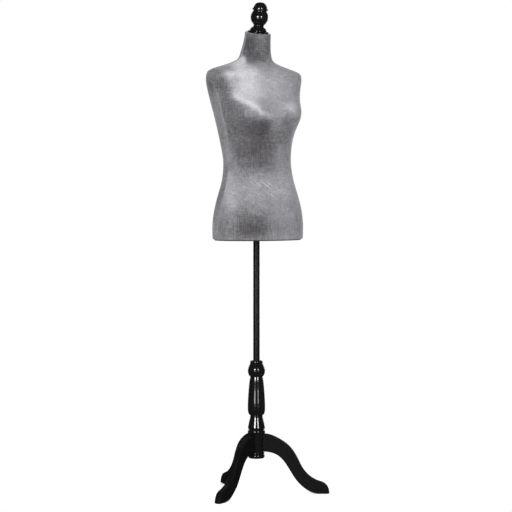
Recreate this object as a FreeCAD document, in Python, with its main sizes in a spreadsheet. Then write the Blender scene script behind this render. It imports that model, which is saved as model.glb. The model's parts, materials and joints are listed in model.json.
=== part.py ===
import FreeCAD, Part
import Sketcher
import math
import os

# Dress form mannequin on an adjustable tripod stand.
# Millimetres, +Z up. The floor is z = 0 and the origin is the middle of the
# footprint, so the pole's axis stands at x = 0, y = axis_y. The form faces -Y.

DOC = FreeCAD.newDocument("dress_form")

# alias: (value, what it is). Heights are above the floor unless they say otherwise.
SIZES = {
    "axis_y": (-57.2, "pole axis, behind or in front of the footprint's middle"),
    "pole_radius": (11.0, "outside of the steel tube"),
    "pole_wall": (1.5, "tube wall"),
    "pole_bottom": (330.0, "lower end of the tube at rest"),
    "pole_top": (1010.0, "upper end of the tube at rest"),
    "sliding_gap": (0.08, "radial clearance of a piece that slides or turns on another"),
    "post_bottom": (139.4, "underside of the post's hub"),
    "post_top": (395.5, "top of the vase"),
    "post_bore": (12.0, "radius of the hole through the post"),
    "hub_radius": (25.0, "hub cylinder that takes the legs"),
    "hub_top": (203.0, "top of the hub cylinder"),
    "cap_bottom": (120.0, "underside of the hub cap"),
    "sleeve_bottom": (352.0, "lower end of the collet sleeve"),
    "sleeve_top": (441.0, "upper end of the collet sleeve"),
    "sleeve_radius": (15.0, "outside of the sleeve's plain part"),
    "thread_radius": (16.0, "outside of the sleeve's thread"),
    "insert_radius": (19.0, "outside of the knob's threaded insert"),
    "bush_bottom": (142.0, "lower end of the guide bush"),
    "bush_length": (28.0, "height of the guide bush"),
    "bush_radius": (13.5, "outside of the guide bush"),
    "collar_bottom": (442.0, "underside of the lock collar"),
    "collar_top": (449.7, "top of the lock collar"),
    "collar_radius": (21.5, "outside of the lock collar"),
    "leg_reach": (247.0, "toe of a leg from the pole axis"),
    "leg_thickness": (21.0, "board that the legs are cut from"),
    "leg_edge": (3.0, "rounding of the legs' long edges"),
    "tongue_depth": (8.0, "dovetail depth"),
    "tongue_root": (10.0, "dovetail width at the hub's surface"),
    "tongue_tip": (13.0, "dovetail width at its deepest"),
    "pad_thickness": (2.0, "foot pad"),
    "hem_height": (860.0, "lower edge of the velvet"),
    "velvet": (1.5, "velvet and its backing"),
    "foam_gap": (0.3, "between velvet and foam"),
    "foam_wall": (12.0, "wall of the foam shells"),
    "board_thickness": (12.0, "base board"),
    "panel_thickness": (3.0, "bottom panel"),
    "socket_radius": (13.5, "outside of the socket tube"),
    "flange_radius": (38.0, "socket flange"),
    "flange_thickness": (2.5, "socket flange"),
    "neck_y": (-11.0, "middle of the neck's top, from the pole axis"),
    "neck_height": (1550.0, "middle of the neck's top"),
    "neck_rise": (9.0, "how much the neck's top is higher at the back than in the middle"),
    "neck_depth": (44.0, "half of the neck's top from front to back"),
    "block_radius": (25.0, "neck block"),
    "block_length": (95.0, "neck block"),
    "neckcap_radius": (36.5, "plate on the neck"),
    "neckcap_thickness": (4.0, "plate on the neck"),
    "stud_radius": (4.0, "finial stud"),
    "stud_below": (45.0, "stud inside the neck block"),
    "stud_above": (19.0, "stud above the neck's top"),
    "washer_thickness": (0.8, "felt washer under the finial"),
    "pilot_radius": (1.7, "holes in the hub for the cap's screws"),
    "clear_radius": (2.0, "holes in the hub cap for its screws"),
    "sink_radius": (3.9, "recess in the hub cap for a screw's head"),
    "sink_depth": (3.0, "recess in the hub cap for a screw's head"),
    "flange_hole": (2.2, "screw holes in the socket flange"),
    "slit_half": (0.75, "half the width of the collet's slits"),
    "tongue_gap": (0.08, "clearance beside a leg's tongue"),
    "board_lift": (4.5, "base board above the velvet's lower edge"),
}

SHEET = DOC.addObject("Spreadsheet::Sheet", "Sizes")
for row, (alias, (number, meaning)) in enumerate(SIZES.items(), start=1):
    SHEET.set(f"A{row}", meaning)
    SHEET.set(f"B{row}", str(number))
    SHEET.setAlias(f"B{row}", alias)
DOC.recompute()


def size(alias):
    """The number in one cell of the sheet."""
    return float(SHEET.get(alias))


LEG_AZIMUTHS = {"leg_front_left": -30, "leg_front_right": 210, "leg_back": 90}
CAP_SCREW_AZIMUTHS = (-90, 30, 150)
CAP_SCREW_CIRCLE = 19.5
FLANGE_SCREW_AZIMUTHS = (45, 135, 225, 315)
FLANGE_SCREW_CIRCLE = 29.0
FLANGE_SHANK_RADIUS = 2.0
NECK_TILT = math.degrees(math.atan2(size("neck_rise"), size("neck_depth")))
NODES = []


# ---------------------------------------------------------------- placing

def upright(azimuth=0.0):
    """Placement of a piece that stands on the pole's axis."""
    turn = FreeCAD.Rotation(FreeCAD.Vector(0, 0, 1), azimuth)
    return FreeCAD.Placement(FreeCAD.Vector(0, size("axis_y"), 0), turn)


def on_neck(along=0.0):
    """Placement on the neck's tilted axis, a distance above the neck's top."""
    tilt = FreeCAD.Rotation(FreeCAD.Vector(1, 0, 0), NECK_TILT)
    top = FreeCAD.Vector(0, size("axis_y") + size("neck_y"), size("neck_height"))
    return FreeCAD.Placement(top + tilt.multVec(FreeCAD.Vector(0, 0, along)), tilt)


def node(item, placement):
    """Record a finished sub-part under its label."""
    item.Placement = placement
    NODES.append(item)
    return item


# ---------------------------------------------------------------- PartDesign helpers

def new_body(label):
    body = DOC.addObject("PartDesign::Body", label)
    body.Label = label
    return body


def new_sketch(body, role, offset=0.0):
    """A sketch on one of the body's own origin planes, moved along its normal."""
    sketch = body.newObject("Sketcher::SketchObject", body.Label + "_sketch")
    plane = [item for item in body.Origin.OriginFeatures if item.Role == role][0]
    sketch.AttachmentSupport = [(plane, "")]
    sketch.MapMode = "FlatFace"
    sketch.AttachmentOffset = FreeCAD.Placement(FreeCAD.Vector(0, 0, offset), FreeCAD.Rotation())
    return sketch


def number(expression):
    """Value of a sheet expression such as 'post_top - post_bottom'."""
    return float(SHEET.evalExpression(str(expression)))


def cell(expression):
    """The same expression as another object has to write it."""
    return " ".join("Sizes." + word if word in SIZES else word for word in str(expression).split())


def bound_polygon(sketch, corners):
    """Closed polygon whose corners are pairs of sheet expressions."""
    points = [FreeCAD.Vector(number(x), number(y), 0) for x, y in corners]
    for index, point in enumerate(points):
        sketch.addGeometry(Part.LineSegment(point, points[(index + 1) % len(points)]), False)
    for index in range(len(points)):
        follower = (index + 1) % len(points)
        sketch.addConstraint(Sketcher.Constraint("Coincident", index, 2, follower, 1))
    for index, (corner, point) in enumerate(zip(corners, points)):
        bind_distance(sketch, "DistanceX", index, corner[0], point.x, -2)
        bind_distance(sketch, "DistanceY", index, corner[1], point.y, -1)


def bind_distance(sketch, kind, index, expression, start_value, axis):
    """Hold one corner at a distance from the sketch's origin, or on its axis."""
    if abs(start_value) < 1e-9:
        sketch.addConstraint(Sketcher.Constraint("PointOnObject", index, 1, axis))
        return
    held = sketch.addConstraint(Sketcher.Constraint(kind, -1, 1, index, 1, start_value))
    if any(alias in str(expression).split() for alias in SIZES):
        sketch.setExpression(f"Constraints[{held}]", cell(expression))


def curve_outline(sketch, pieces):
    """Closed outline of straight runs (two points) and smooth curves (more points)."""
    for points in pieces:
        vectors = [FreeCAD.Vector(x, y, 0) for x, y in points]
        if len(vectors) == 2:
            sketch.addGeometry(Part.LineSegment(*vectors), False)
        else:
            curve = Part.BSplineCurve()
            curve.interpolate(vectors)
            sketch.addGeometry(curve, False)
    for index in range(len(pieces)):
        follower = (index + 1) % len(pieces)
        sketch.addConstraint(Sketcher.Constraint("Coincident", index, 2, follower, 1))
        sketch.addConstraint(Sketcher.Constraint("Block", index))


def revolve(body, sketch):
    turned = body.newObject("PartDesign::Revolution", body.Label + "_turned")
    turned.Profile = sketch
    turned.ReferenceAxis = (sketch, ["V_Axis"])
    turned.Angle = 360.0
    sketch.Visibility = False
    DOC.recompute()
    return turned


def turned_body(label, corners):
    """A piece turned from a polygon of (radius, height) sheet expressions."""
    body = new_body(label)
    sketch = new_sketch(body, "XZ_Plane")
    bound_polygon(sketch, corners)
    revolve(body, sketch)
    return body


def spun_body(label, pieces):
    """A piece turned from an outline with curves."""
    body = new_body(label)
    sketch = new_sketch(body, "XZ_Plane")
    curve_outline(sketch, pieces)
    revolve(body, sketch)
    return body


def cut_down_or_up(body, sketch, length, upward):
    """Pocket along +Z or -Z from a sketch that lies flat, checked by its volume."""
    before = body.Shape.Volume
    pocket = body.newObject("PartDesign::Pocket", body.Label + "_cut")
    pocket.Profile = sketch
    pocket.Reversed = upward
    pocket.setExpression("Length", cell(length))
    DOC.recompute()
    if body.Shape.Volume > before - 1.0:
        raise RuntimeError(f"{body.Label}: a pocket cut nothing")
    return pocket


def polar(body, feature, count):
    """Repeat a feature evenly round the body's Z axis."""
    pattern = body.newObject("PartDesign::PolarPattern", body.Label + "_ring")
    axis = [item for item in body.Origin.OriginFeatures if item.Role == "Z_Axis"][0]
    pattern.Originals = [feature]
    pattern.Axis = (axis, [""])
    pattern.Angle = 360.0
    pattern.Occurrences = count
    body.Tip = pattern
    DOC.recompute()
    return pattern


def bound_circle(sketch, centre, expression):
    """Circle of a sheet-bound radius at a fixed centre."""
    middle = FreeCAD.Vector(centre[0], centre[1], 0)
    circle = Part.Circle(middle, FreeCAD.Vector(0, 0, 1), number(expression))
    index = sketch.addGeometry(circle, False)
    for kind, value in (("DistanceX", centre[0]), ("DistanceY", centre[1])):
        if abs(value) > 1e-9:
            sketch.addConstraint(Sketcher.Constraint(kind, -1, 1, index, 3, value))
    held = sketch.addConstraint(Sketcher.Constraint("Radius", index, number(expression)))
    sketch.setExpression(f"Constraints[{held}]", cell(expression))


def ring_of(azimuth, radius):
    """Point on a circle round the axis."""
    angle = math.radians(azimuth)
    return radius * math.cos(angle), radius * math.sin(angle)


# ---------------------------------------------------------------- stand

def build_post():
    """Turned column: hub cylinder, bead, cone, neck and vase."""
    bottom = size("post_bottom")
    top = size("post_top")
    hub = size("hub_radius")
    hub_top = size("hub_top")
    bore = size("post_bore")
    sleeve_seat = size("sleeve_radius") + 0.05
    bush_seat = size("bush_radius") + 0.05
    bush_top = size("bush_bottom") + size("bush_length")
    outline = [
        [(bush_seat, bottom), (hub, bottom)],
        [(hub, bottom), (hub, hub_top)],
        [(hub, hub_top), (28.4, 204.4), (29.3, 209.3), (28.4, 214.2), (25.5, 216.4)],
        [(25.5, 216.4), (25.5, 218)],
        [(25.5, 218), (28.2, 220.5), (27.8, 228.5), (25.4, 241), (22.2, 254), (20.5, 265.5)],
        [(20.5, 265.5), (25.2, 269), (28.1, 276), (29.3, 291), (28.9, 310), (27.3, 338),
         (24.8, 369), (23.2, 383), (21.2, top)],
        [(21.2, top), (sleeve_seat, top)],
        [(sleeve_seat, top), (sleeve_seat, size("sleeve_bottom"))],
        [(sleeve_seat, size("sleeve_bottom")), (bore, size("sleeve_bottom"))],
        [(bore, size("sleeve_bottom")), (bore, bush_top)],
        [(bore, bush_top), (bush_seat, bush_top)],
        [(bush_seat, bush_top), (bush_seat, bottom)],
    ]
    post = spun_body("post", outline)
    slot = new_sketch(post, "XY_Plane", bottom)
    depth = "hub_radius - tongue_depth"
    bound_polygon(slot, [
        (depth, "0 - tongue_tip / 2"),
        ("hub_radius + 2", "0 - tongue_root / 2"),
        ("hub_radius + 2", "tongue_root / 2"),
        (depth, "tongue_tip / 2"),
    ])
    slot_cut = cut_down_or_up(post, slot, "hub_top - post_bottom - 3", True)
    polar(post, slot_cut, 3)
    pilot = new_sketch(post, "XY_Plane", bottom)
    bound_circle(pilot, ring_of(60, CAP_SCREW_CIRCLE), "pilot_radius")
    pilot_cut = cut_down_or_up(post, pilot, "bush_length - 6", True)
    polar(post, pilot_cut, 3)
    return node(post, upright(azimuth=-30))


def build_hub_cap():
    """Turned cap under the hub, with a bead, a groove and three countersunk holes."""
    bottom = size("cap_bottom")
    top = size("post_bottom")
    bore = size("post_bore")
    outline = [
        [(bore, bottom), (21.5, bottom)],
        [(21.5, bottom), (25.8, 121.6), (27.7, 127), (27, 131.5), (25.6, 133.8)],
        [(25.6, 133.8), (26.6, 134.9), (27, 136.6), (27, 138.2), (26.4, top)],
        [(26.4, top), (bore, top)],
        [(bore, top), (bore, bottom)],
    ]
    cap = spun_body("hub_cap", outline)
    holes = new_sketch(cap, "XY_Plane", bottom)
    bound_circle(holes, ring_of(30, CAP_SCREW_CIRCLE), "clear_radius")
    hole_cut = cut_down_or_up(cap, holes, "post_bottom - cap_bottom", True)
    polar(cap, hole_cut, 3)
    sink = new_sketch(cap, "XY_Plane", bottom)
    bound_circle(sink, ring_of(30, CAP_SCREW_CIRCLE), "sink_radius")
    sink_cut = cut_down_or_up(cap, sink, "sink_depth", True)
    polar(cap, sink_cut, 3)
    return node(cap, upright())


def screw(label, head_radius, head_height, shank_radius, shank_length, drive):
    """Slotted screw with a countersunk head that widens upwards from z = 0."""
    head = DOC.addObject("Part::Cone", label + "_head")
    head.Radius1 = shank_radius
    head.Radius2 = head_radius
    head.Height = head_height
    shank = DOC.addObject("Part::Cylinder", label + "_shank")
    shank.Radius = shank_radius
    shank.Height = shank_length
    shank.Placement.Base.z = -shank_length
    solid = DOC.addObject("Part::Fuse", label + "_blank")
    solid.Base = head
    solid.Tool = shank
    slot = DOC.addObject("Part::Box", label + "_slot")
    slot.Length = 2 * head_radius + 2
    slot.Width = drive
    slot.Height = head_height
    slot.Placement.Base = FreeCAD.Vector(-head_radius - 1, -drive / 2, head_height * 0.5)
    cut = DOC.addObject("Part::Cut", label + "_slotted")
    cut.Base = solid
    cut.Tool = slot
    DOC.recompute()
    return cut


def screw_group(label, pattern, placements):
    """One node that holds identical screws as separate solids."""
    group = DOC.addObject("Part::Feature", label)
    group.Label = label
    copies = []
    for place in placements:
        copy = pattern.Shape.copy()
        copy.Placement = place
        copies.append(copy)
    group.Shape = Part.makeCompound(copies)
    return group


def build_hub_cap_screws():
    """Three screws driven up through the cap into the hub."""
    head_height = 2.4
    pattern = screw("cap_screw", 3.4, head_height, 1.6, 30, 0.9)
    over = FreeCAD.Rotation(FreeCAD.Vector(1, 0, 0), 180)
    places = []
    for azimuth in CAP_SCREW_AZIMUTHS:
        x, y = ring_of(azimuth, CAP_SCREW_CIRCLE)
        seat = size("cap_bottom") + size("sink_depth") - 0.1
        places.append(FreeCAD.Placement(FreeCAD.Vector(x, y, seat), over))
    return node(screw_group("hub_cap_screws", pattern, places), upright())


def build_leg(label, azimuth):
    """Sawn leg with an S-shaped top edge, rounded long edges and a dovetail tongue."""
    reach = size("leg_reach")
    sole = size("pad_thickness")
    inside = size("hub_radius") - 4
    upper = [(inside, 203), (56, 196.5), (84, 182), (103, 169), (122, 149), (142, 115), (161, 81),
             (184, 58), (209, 44.5), (226, 38.5), (237, 30), (244, 17.5), (reach, sole)]
    lower = [(200, sole), (181, 7.5), (165, 17.5), (139, 41), (120, 68), (103.5, 95), (89, 115),
             (69, 132), (40, 141.5), (inside, 142.5)]
    leg = new_body(label)
    side = new_sketch(leg, "XZ_Plane")
    curve_outline(side, [upper, [upper[-1], lower[0]], lower, [lower[-1], upper[0]]])
    board = leg.newObject("PartDesign::Pad", label + "_board")
    board.Profile = side
    board.Midplane = True
    board.setExpression("Length", "Sizes.leg_thickness")
    DOC.recompute()
    half = size("leg_thickness") / 2
    rounded = []
    for index, edge in enumerate(board.Shape.Edges, start=1):
        flat = all(abs(abs(vertex.Y) - half) < 0.01 for vertex in edge.Vertexes)
        sides = {round(vertex.Y) > 0 for vertex in edge.Vertexes}
        outside = max(vertex.X for vertex in edge.Vertexes) > inside + 1
        if flat and outside and len(sides) == 1:
            rounded.append(f"Edge{index}")
    edges = leg.newObject("PartDesign::Fillet", label + "_rounding")
    edges.Base = (board, rounded)
    edges.setExpression("Radius", "Sizes.leg_edge")
    DOC.recompute()
    hollow = new_sketch(leg, "XY_Plane")
    bound_circle(hollow, (0, 0), "hub_radius + 0.05")
    cut_down_or_up(leg, hollow, "hub_top * 2", True)
    tongue = new_sketch(leg, "XY_Plane", 143.5)
    shallow = "hub_radius - tongue_depth + 0.1"
    bound_polygon(tongue, [
        (shallow, "tongue_gap - tongue_tip / 2"),
        ("hub_radius + 2", "tongue_gap - tongue_root / 2"),
        ("hub_radius + 2", "tongue_root / 2 - tongue_gap"),
        (shallow, "tongue_tip / 2 - tongue_gap"),
    ])
    key = leg.newObject("PartDesign::Pad", label + "_tongue")
    key.Profile = tongue
    key.setExpression("Length", "Sizes.hub_top - 147")
    DOC.recompute()
    return node(leg, upright(azimuth=azimuth))


def build_foot_pads():
    """Three pads glued under the feet, one node."""
    length = 38.0
    width = 16.0
    pads = []
    for azimuth in LEG_AZIMUTHS.values():
        pad = Part.makeBox(length, width, size("pad_thickness"))
        corners = [edge for edge in pad.Edges if abs(edge.tangentAt(edge.FirstParameter).z) > 0.9]
        pad = pad.makeFillet(5, corners)
        pad.translate(FreeCAD.Vector(size("leg_reach") - 5 - length, -width / 2, 0))
        pad.rotate(FreeCAD.Vector(), FreeCAD.Vector(0, 0, 1), azimuth)
        pads.append(pad)
    group = DOC.addObject("Part::Feature", "foot_pads")
    group.Label = "foot_pads"
    group.Shape = Part.makeCompound(pads)
    return node(group, upright())


def build_collet_sleeve():
    """Sleeve that sits in the post, carries the knob's thread and ends in split fingers."""
    hole = "pole_radius + sliding_gap"
    sleeve = turned_body("collet_sleeve", [
        (hole, "sleeve_bottom"),
        ("sleeve_radius", "sleeve_bottom"),
        ("sleeve_radius", "post_top"),
        ("sleeve_radius + 2", "post_top"),
        ("sleeve_radius + 2", "post_top + 2"),
        ("thread_radius - 1", "post_top + 3"),
        ("thread_radius", "post_top + 4"),
        ("thread_radius", "sleeve_top - 16"),
        ("thread_radius - 1", "sleeve_top - 15"),
        ("pole_radius + 2.6", "sleeve_top"),
        (hole, "sleeve_top"),
    ])
    slit = new_sketch(sleeve, "XY_Plane", size("sleeve_top"))
    bound_polygon(slit, [
        ("pole_radius - 2", "0 - slit_half"),
        ("thread_radius + 2", "0 - slit_half"),
        ("thread_radius + 2", "slit_half"),
        ("pole_radius - 2", "slit_half"),
    ])
    slit_cut = cut_down_or_up(sleeve, slit, "sleeve_top - post_top - 8", False)
    polar(sleeve, slit_cut, 4)
    return node(sleeve, upright(azimuth=15))


def build_guide_bush():
    """Plain bush low in the post that keeps the lowered tube upright."""
    hole = "pole_radius + sliding_gap"
    return node(turned_body("guide_bush", [
        (hole, "bush_bottom + 1"),
        ("pole_radius + 1", "bush_bottom"),
        ("bush_radius", "bush_bottom"),
        ("bush_radius", "bush_bottom + bush_length"),
        ("pole_radius + 1.2", "bush_bottom + bush_length"),
        (hole, "bush_bottom + bush_length - 2"),
    ]), upright())


# ---------------------------------------------------------------- height lock

def build_clamp_ring():
    """Ring with a cone inside that squeezes the sleeve's fingers onto the tube."""
    return node(turned_body("clamp_ring", [
        ("pole_radius + 4.42", "sleeve_top - 14"),
        ("insert_radius + 0.2", "sleeve_top - 14"),
        ("insert_radius + 0.2", "sleeve_top - 3"),
        ("pole_radius + 3.4", "sleeve_top - 3"),
    ]), upright())


def build_lock_knob():
    """Turned ball under the hand, hollow inside for the insert and the clamp ring."""
    seat = size("insert_radius") + 0.02
    chamber = size("insert_radius") + 0.5
    ledge = size("sleeve_top") - 16.4
    roof = size("sleeve_top") - 2.5
    top = size("collar_bottom")
    mouth = size("pole_radius") + 3.4
    outline = [
        [(seat, 396.6), (21.9, 396.6)],
        [(21.9, 396.6), (24.6, 400), (26.5, 403.4), (28.5, 410), (28.9, 417), (28.3, 423.5),
         (26.2, 430.5), (23.4, 437), (21, top - 1.5)],
        [(21, top - 1.5), (21, top)],
        [(21, top), (mouth, top)],
        [(mouth, top), (mouth, roof)],
        [(mouth, roof), (chamber, roof)],
        [(chamber, roof), (chamber, ledge)],
        [(chamber, ledge), (seat, ledge)],
        [(seat, ledge), (seat, 396.6)],
    ]
    return node(spun_body("lock_knob", outline), upright())


def build_lock_knob_insert():
    """Threaded brass ring pressed into the ball."""
    return node(turned_body("lock_knob_insert", [
        ("thread_radius + sliding_gap", "post_top + 4"),
        ("insert_radius", "post_top + 4"),
        ("insert_radius", "sleeve_top - 16.4"),
        ("thread_radius + sliding_gap", "sleeve_top - 16.4"),
    ]), upright())


def build_lock_collar():
    """Thin ring on top of the ball."""
    inner = size("pole_radius") + 0.5
    outer = size("collar_radius")
    bottom = size("collar_bottom")
    top = size("collar_top")
    outline = [
        [(inner, bottom), (outer - 1.2, bottom)],
        [(outer - 1.2, bottom), (outer - 0.2, bottom + 1.4), (outer, (bottom + top) / 2),
         (outer - 0.4, top - 1.6), (outer - 2.2, top)],
        [(outer - 2.2, top), (inner, top)],
        [(inner, top), (inner, bottom)],
    ]
    return node(spun_body("lock_collar", outline), upright())


# ---------------------------------------------------------------- pole

def build_pole():
    """Steel tube."""
    inner = "pole_radius - pole_wall"
    return node(turned_body("pole", [
        (inner, "pole_bottom"),
        ("pole_radius", "pole_bottom"),
        ("pole_radius", "pole_top"),
        (inner, "pole_top"),
    ]), upright())


def build_pole_foot_plug():
    """Plug in the tube's lower end, with a chamfered head that finds the guide bush."""
    stem = "pole_radius - pole_wall - 0.05"
    return node(turned_body("pole_foot_plug", [
        ("0", "pole_bottom - 3"),
        ("pole_radius - 2.5", "pole_bottom - 3"),
        ("pole_radius - 0.4", "pole_bottom - 1"),
        ("pole_radius - 0.4", "pole_bottom"),
        (stem, "pole_bottom"),
        (stem, "pole_bottom + 20"),
        ("0", "pole_bottom + 20"),
    ]), upright())


def build_pole_top_plug():
    """Plug in the tube's upper end, on which the torso turns."""
    stem = "pole_radius - pole_wall - 0.05"
    return node(turned_body("pole_top_plug", [
        ("0", "pole_top - 20"),
        (stem, "pole_top - 20"),
        (stem, "pole_top"),
        ("pole_radius - 0.4", "pole_top"),
        ("pole_radius - 0.4", "pole_top + 2"),
        ("pole_radius - 2", "pole_top + 3"),
        ("0", "pole_top + 3"),
    ]), upright())


# ---------------------------------------------------------------- torso surface

# Stations up the form. Each is a closed ring round the body:
# height at the side, front and back; half breadth; y (from the pole axis) of the
# side, front and back; and the ring's squareness (2 is an ellipse).
STATIONS = [
    # z_side, z_front, z_back, half, y_side, y_front, y_back, squareness
    (820, 820, 820, 158, -8, -121, 95, 2.25),       # below the hem, cut away
    (860, 860, 860, 159, -8, -122, 96, 2.25),       # hem
    (905, 905, 905, 160, -8, -123, 98, 2.25),       # seat
    (950, 950, 950, 155, -9, -121, 94, 2.25),       # hip
    (1005, 1005, 1005, 142, -9, -113, 86, 2.2),     # high hip
    (1060, 1060, 1060, 125, -8, -102, 78, 2.15),    # abdomen
    (1118, 1118, 1118, 119, -4, -90, 77, 2.15),     # waist
    (1172, 1172, 1172, 125, 1, -88, 87, 2.2),       # ribs
    (1228, 1228, 1228, 135, 5, -90, 96, 2.3),       # under the bust
    (1283, 1283, 1283, 147, 9, -92, 103, 2.4),      # bust
    (1330, 1330, 1335, 157, 18, -83, 110, 2.5),     # armpit
    (1368, 1368, 1375, 167.5, 19, -72, 106, 2.5),   # arm
    (1398, 1396, 1408, 174, 16, -67, 100, 2.4),     # shoulder tip
    (1420, 1416, 1432, 169, 14, -62, 89, 2.4),      # shoulder edge
    (1438, 1431, 1448, 116, 13, -55, 75, 2.15),     # shoulder slope
    (1459, 1446, 1466, 61, 8, -48, 57, 2.0),        # neck base
    (1486, 1473, 1494, 51, 5, -48, 54, 2.0),        # lower neck
    (1516, 1505, 1526, 45.5, -4, -51, 42, 2.0),     # neck
    (1550, 1541, 1559, 42.5, -11, -55, 33, 2.0),    # neck top
    (1580, 1571, 1589, 41, -17, -60, 26, 2.0),      # above the neck top, cut away
]
RINGS_PER_STATION = 2
POINTS_PER_RING = 40

BUST_X = 74.0
BUST_HEIGHT = 1273.0
BUST_LIFT = 43.0
BUST_BREADTH = 57.0
BUST_ABOVE = 64.0
BUST_BELOW = 46.0
BUST_SPREAD = 0.6


def eased(values, place):
    """Monotone cubic through values at 0, 1, 2..., read at any place between them."""
    steps = [later - earlier for earlier, later in zip(values, values[1:])]
    slopes = [steps[0]]
    for before, after in zip(steps, steps[1:]):
        slopes.append(0.0 if before * after <= 0 else 2 * before * after / (before + after))
    slopes.append(steps[-1])
    index = min(int(place), len(values) - 2)
    part = place - index
    left = values[index] * (1 + 2 * part) * (1 - part) ** 2
    right = values[index + 1] * part ** 2 * (3 - 2 * part)
    pull = slopes[index] * part * (1 - part) ** 2 - slopes[index + 1] * part ** 2 * (1 - part)
    return left + right + pull


def bust_push(x, height, frontness):
    """How far the bust stands out of the ribs: two soft lobes that run together."""
    rise = height - BUST_HEIGHT
    reach = BUST_ABOVE if rise > 0 else BUST_BELOW
    upright_share = math.exp(-(rise / reach) ** 2)
    across = sum(math.exp(-((x - middle) / BUST_BREADTH) ** 2) for middle in (-BUST_X, BUST_X))
    return BUST_LIFT * upright_share * across * min(1.0, frontness ** 0.7)


def form_ring(place):
    """Points of the ring at a place (in stations) up the form."""
    columns = list(zip(*STATIONS))
    z_side, z_front, z_back, half, y_side, y_front, y_back, power = [
        eased(column, place) for column in columns]
    lean = (z_back - z_front) / 2
    crown = (z_back + z_front) / 2 - z_side
    ring = []
    for index in range(POINTS_PER_RING):
        angle = 2 * math.pi * index / POINTS_PER_RING
        side = math.cos(angle)
        back = math.sin(angle)
        depth = y_back - y_side if back >= 0 else y_side - y_front
        bearing = math.atan2(depth * back, half * side)
        inverse = abs(math.cos(bearing) / half) ** power + abs(math.sin(bearing) / depth) ** power
        radius = inverse ** (-1 / power)
        x = radius * math.cos(bearing)
        y = y_side + radius * math.sin(bearing)
        z = z_side + lean * back + crown * back * back
        if back < 0:
            push = bust_push(x, z, -back)
            y -= push
            x += math.copysign(push * BUST_SPREAD * max(0.0, abs(x) / BUST_X - 0.3), x)
        ring.append(FreeCAD.Vector(x, y, z))
    return ring


def form_net():
    """Rings from below the hem to above the neck's top."""
    count = (len(STATIONS) - 1) * RINGS_PER_STATION + 1
    return [form_ring(index / RINGS_PER_STATION) for index in range(count)]


def flattened(ring, flat_ring):
    """A ring's points moved straight up or down into the plane of a flat ring."""
    third = len(flat_ring) // 3
    origin = flat_ring[0]
    normal = (flat_ring[third] - origin).cross(flat_ring[2 * third] - origin)
    level = []
    for point in ring:
        aside = normal.x * (point.x - origin.x) + normal.y * (point.y - origin.y)
        level.append(FreeCAD.Vector(point.x, point.y, origin.z - aside / normal.z))
    return level


def inset_net(net, inset):
    """The net moved inwards along its own normals; its end rings stay flat."""
    moved = []
    last = len(net) - 1
    for row, ring in enumerate(net):
        below = net[max(row - 1, 0)]
        above = net[min(row + 1, last)]
        count = len(ring)
        moved_ring = []
        for index, point in enumerate(ring):
            along = ring[(index + 1) % count] - ring[index - 1]
            up = above[index] - below[index]
            outward = along.cross(up)
            outward.normalize()
            moved_ring.append(point - outward * inset)
        moved.append(flattened(moved_ring, ring) if row in (0, last) else moved_ring)
    return moved


def form_solid(net):
    """Closed solid whose side is one smooth surface over the net."""
    rows = len(net)
    columns = len(net[0])
    surface = Part.BSplineSurface()
    row_knots = [float(knot) for knot in range(rows - 2)]
    row_mults = [4] + [1] * (rows - 4) + [4]
    ring_knots = [float(knot) for knot in range(columns + 1)]
    ring_mults = [1] * (columns + 1)
    surface.buildFromPolesMultsKnots(
        net, row_mults, ring_mults, row_knots, ring_knots, False, True, 3, 3)
    ends = []
    for knot in (row_knots[0], row_knots[-1]):
        ends.append(Part.Face(Part.Wire(surface.uIso(knot).toShape())))
    shell = Part.makeShell([surface.toShape()] + ends)
    shell.sewShape()
    solid = Part.makeSolid(shell)
    if solid.Volume < 0:
        solid.reverse()
    return solid


def neck_side(along, height):
    """Block on the neck's axis from a distance above its top; used to trim the form."""
    block = Part.makeBox(400, 400, height)
    block.translate(FreeCAD.Vector(-200, -200, 0))
    place = on_neck(along)
    place.Base = place.Base - FreeCAD.Vector(0, size("axis_y"), 0)
    block.Placement = place.multiply(block.Placement)
    return block


def floor_side(height):
    """Everything under a height; used to trim the form."""
    block = Part.makeBox(600, 600, 200)
    block.translate(FreeCAD.Vector(-300, -300, height - 200))
    return block


def trimmed(net, inset, bottom, along):
    """The form, inset, cut level at the bottom and square to the neck at the top."""
    solid = form_solid(inset_net(net, inset) if inset else net)
    return solid.cut(floor_side(bottom)).cut(neck_side(along, 120))


def side_seam_block():
    """Everything in front of the side seams, which wander with height."""
    line = [(-12, 840), (-25, 945), (-24, 1030), (-22, 1116), (-33, 1240), (-30, 1290), (-10, 1370),
            (13, 1415), (20, 1435), (11, 1465), (-2, 1510), (-11, 1555), (-16, 1590)]
    curve = Part.BSplineCurve()
    curve.interpolate([FreeCAD.Vector(-300, y, z) for y, z in line])
    first = FreeCAD.Vector(-300, line[0][0], line[0][1])
    last = FreeCAD.Vector(-300, line[-1][0], line[-1][1])
    front_low = FreeCAD.Vector(-300, -300, line[0][1])
    front_high = FreeCAD.Vector(-300, -300, line[-1][1])
    wire = Part.Wire([
        curve.toShape(),
        Part.makeLine(last, front_high),
        Part.makeLine(front_high, front_low),
        Part.makeLine(front_low, first),
    ])
    return Part.Face(wire).extrude(FreeCAD.Vector(600, 0, 0))


def feature(label, shape):
    """A sub-part whose shape is worked out here, in the pole's own frame."""
    if shape.ShapeType == "Compound" and len(shape.Solids) == 1:
        shape = shape.Solids[0]
    item = DOC.addObject("Part::Feature", label)
    item.Label = label
    item.Shape = shape
    return node(item, upright())


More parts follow.
